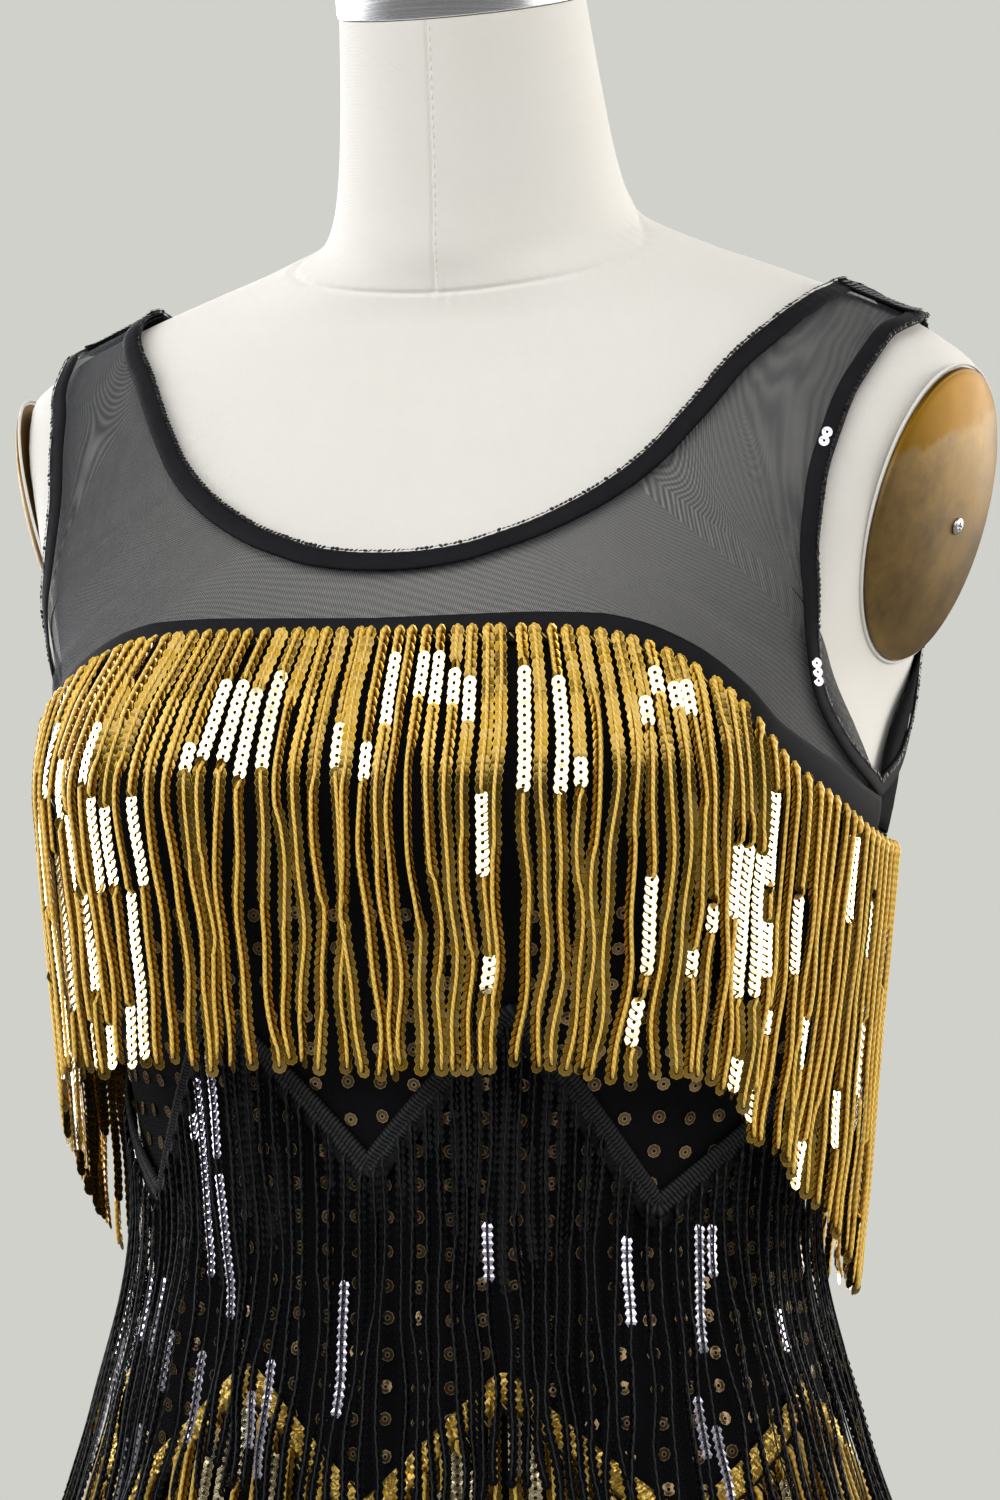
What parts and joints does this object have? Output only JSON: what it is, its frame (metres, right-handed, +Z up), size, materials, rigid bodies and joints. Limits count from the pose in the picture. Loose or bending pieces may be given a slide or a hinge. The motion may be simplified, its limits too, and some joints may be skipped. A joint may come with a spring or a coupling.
{
  "type": "flapper dress on a dress form",
  "caption": "Sleeveless fitted dress with a sheer yoke, zigzag braids and tiers of gold and black sequin fringe, worn on a limbless dress form with a pole and round base.",
  "frame": {"origin": "on the floor, at the middle of the round base", "axes": "+Z up along the pole; the dress's front faces -Y and the wearer's left is +X"},
  "size_m": [0.43, 0.43, 1.5417],
  "materials": {
    "stand_metal": "plain satin warm grey paint",
    "form_canvas": "smooth off-white canvas",
    "cap_metal": "bright metal, finely brushed round",
    "plate_brass": "aged brass, mottled and dull",
    "screw_steel": "small bright cross-head screw",
    "yoke_mesh": "sheer black stretch mesh",
    "black_knit": "opaque black stretch knit",
    "black_trim": "black tape edged with tiny sequins",
    "black_braid": "ribbed black gimp braid",
    "gold_braid": "crinkled gold foil braid",
    "gold_sequin": "glossy gold sequins on twisted gold thread",
    "black_sequin": "glossy black sequins with a violet-white flash"
  },
  "bodies": {
    "root": {"base_disc": "stand_metal", "pole": "stand_metal", "form_torso": "form_canvas", "neck_cap": "cap_metal", "arm_plate_left": "plate_brass", "arm_plate_right": "plate_brass", "plate_screw_left": "screw_steel", "plate_screw_right": "screw_steel", "front_yoke": "yoke_mesh", "back_yoke": "black_knit", "front_panel": "black_knit", "back_panel": "black_knit", "bust_band": "black_trim", "neck_binding": "black_trim", "armhole_binding_left": "black_trim", "armhole_binding_right": "black_trim", "shoulder_tape_left": "black_trim", "shoulder_tape_right": "black_trim", "zigzag_braid_upper": "black_braid", "zigzag_braid_lower": "gold_braid", "gold_fringe_upper": "gold_sequin", "black_fringe_upper": "black_sequin", "gold_fringe_lower": "gold_sequin", "black_fringe_lower": "black_sequin"}
  },
  "joints": []
}
